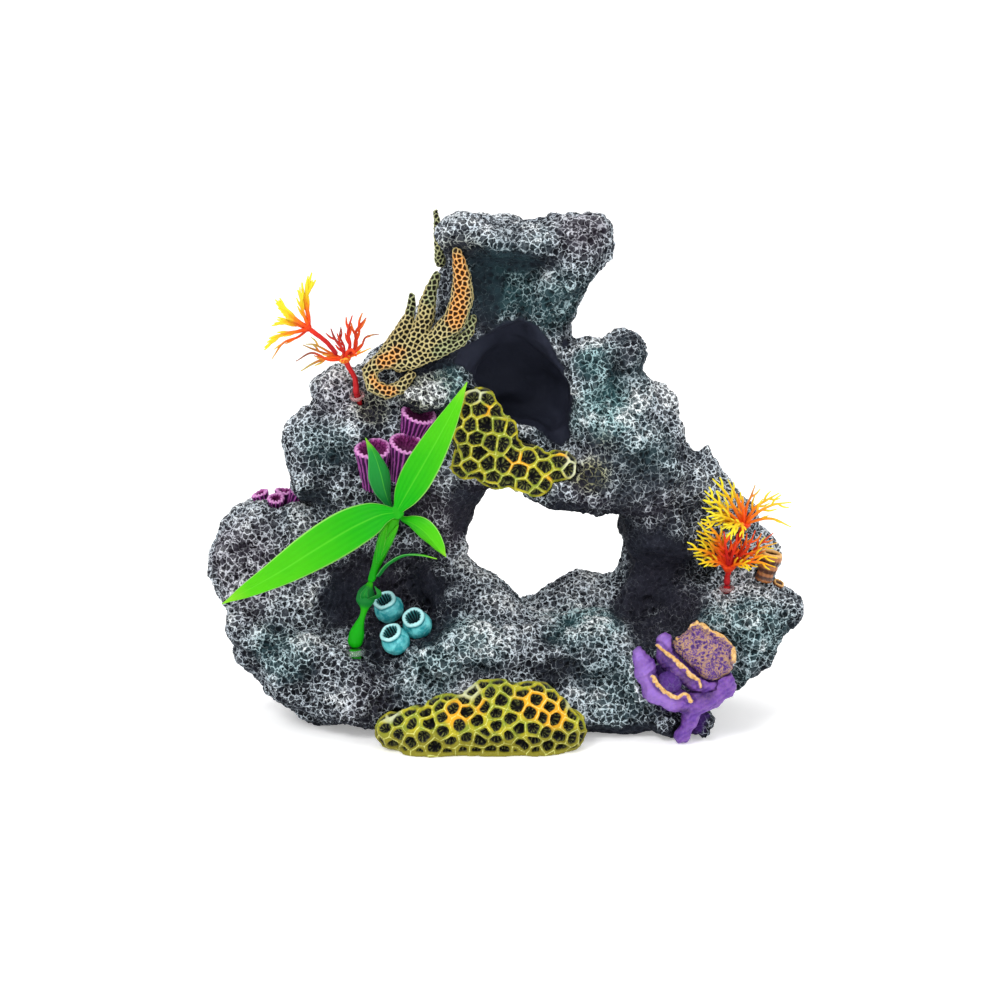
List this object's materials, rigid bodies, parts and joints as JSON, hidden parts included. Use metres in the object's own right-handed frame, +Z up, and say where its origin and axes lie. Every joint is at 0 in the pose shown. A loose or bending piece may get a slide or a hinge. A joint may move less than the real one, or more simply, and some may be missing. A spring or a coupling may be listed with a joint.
{
  "type": "aquarium cave ornament",
  "caption": "Rocky resin arch with a dark cave, a swim-through window, bonded corals and three soft plastic plants that sway on their stems.",
  "frame": {"origin": "middle of the footprint's bounding box, on the surface that the rock stands on", "axes": "+X to the right seen from the front, +Y towards the back, +Z up"},
  "size_m": [0.2012, 0.0912, 0.1715],
  "materials": {
    "resin_rock": "matte cast resin, dry-brushed",
    "coral_yellow": "matte painted resin",
    "coral_purple": "matte painted resin",
    "vase_turquoise": "glossy painted resin",
    "plate_violet": "satin painted resin with gold brushing",
    "sponge_olive": "matte painted resin",
    "cup_rust": "satin painted resin",
    "leaf_green": "glossy soft polyethylene",
    "fire_orange": "satin soft polyethylene",
    "clear_glue": "clear cured adhesive"
  },
  "bodies": {
    "rock": {"rock_body": "resin_rock", "honeycomb_coral_upper": "coral_yellow", "honeycomb_coral_lower": "coral_yellow", "tube_coral_back": "coral_purple", "tube_coral_left": "coral_purple", "tube_coral_right": "coral_purple", "side_tube_cluster": "coral_purple", "vase_sponge_back": "vase_turquoise", "vase_sponge_right": "vase_turquoise", "vase_sponge_front": "vase_turquoise", "plate_coral_upper": "plate_violet", "plate_coral_middle": "plate_violet", "plate_coral_lower": "plate_violet", "finger_sponge": "sponge_olive", "crown_finger": "sponge_olive", "cup_coral_large": "cup_rust", "cup_coral_small": "cup_rust", "green_plant_plug": "leaf_green", "green_plant_glue_bead": "clear_glue", "left_fire_plant_plug": "fire_orange", "left_fire_plant_glue_bead": "clear_glue", "right_fire_plant_plug": "fire_orange", "right_fire_plant_glue_bead": "clear_glue"},
    "green_plant_stem_body": {"green_plant_stem": "leaf_green", "green_thin_leaf": "leaf_green"},
    "green_plant_crown_body": {"green_plant_upper_stem": "leaf_green", "green_leaf_pair_short": "leaf_green", "green_leaf_pair_long": "leaf_green", "green_plant_bud": "leaf_green"},
    "left_plant_stem_body": {"left_fire_plant_stem": "fire_orange", "left_fire_plant_lower_tuft": "fire_orange"},
    "left_plant_upper_body": {"left_fire_plant_upper_stem": "fire_orange", "left_fire_plant_upper_tuft": "fire_orange"},
    "right_plant_stem_body": {"right_fire_plant_stem": "fire_orange", "right_fire_plant_lower_tuft": "fire_orange"},
    "right_plant_upper_body": {"right_fire_plant_upper_stem": "fire_orange", "right_fire_plant_upper_tuft": "fire_orange"}
  },
  "joints": [
    {"name": "green_stem_sway", "type": "hinge", "parent": "rock", "child": "green_plant_stem_body", "pos_m": [-0.04959, -0.0166, 0.031], "axis": [0, 1, 0], "range_deg": [-8, 8], "stiffness_Nm_per_rad": 0.03},
    {"name": "green_crown_bend", "type": "hinge", "parent": "green_plant_stem_body", "child": "green_plant_crown_body", "pos_m": [-0.04379, -0.0186, 0.0526], "axis": [1, 0, 0], "range_deg": [-2, 12], "stiffness_Nm_per_rad": 0.03},
    {"name": "left_stem_sway", "type": "hinge", "parent": "rock", "child": "left_plant_stem_body", "pos_m": [-0.04889, -0.0061, 0.1126], "axis": [0, 1, 0], "range_deg": [-12, 12], "stiffness_Nm_per_rad": 0.01},
    {"name": "left_upper_bend", "type": "hinge", "parent": "left_plant_stem_body", "child": "left_plant_upper_body", "pos_m": [-0.05493, -0.01151, 0.12603], "axis": [0, 1, 0], "range_deg": [-12, 12], "stiffness_Nm_per_rad": 0.006},
    {"name": "right_stem_sway", "type": "hinge", "parent": "rock", "child": "right_plant_stem_body", "pos_m": [0.07401, -0.0021, 0.0474], "axis": [0, 1, 0], "range_deg": [-10, 10], "stiffness_Nm_per_rad": 0.01},
    {"name": "right_upper_bend", "type": "hinge", "parent": "right_plant_stem_body", "child": "right_plant_upper_body", "pos_m": [0.07476, -0.00277, 0.05711], "axis": [1, 0, 0], "range_deg": [-3, 12], "stiffness_Nm_per_rad": 0.006}
  ]
}
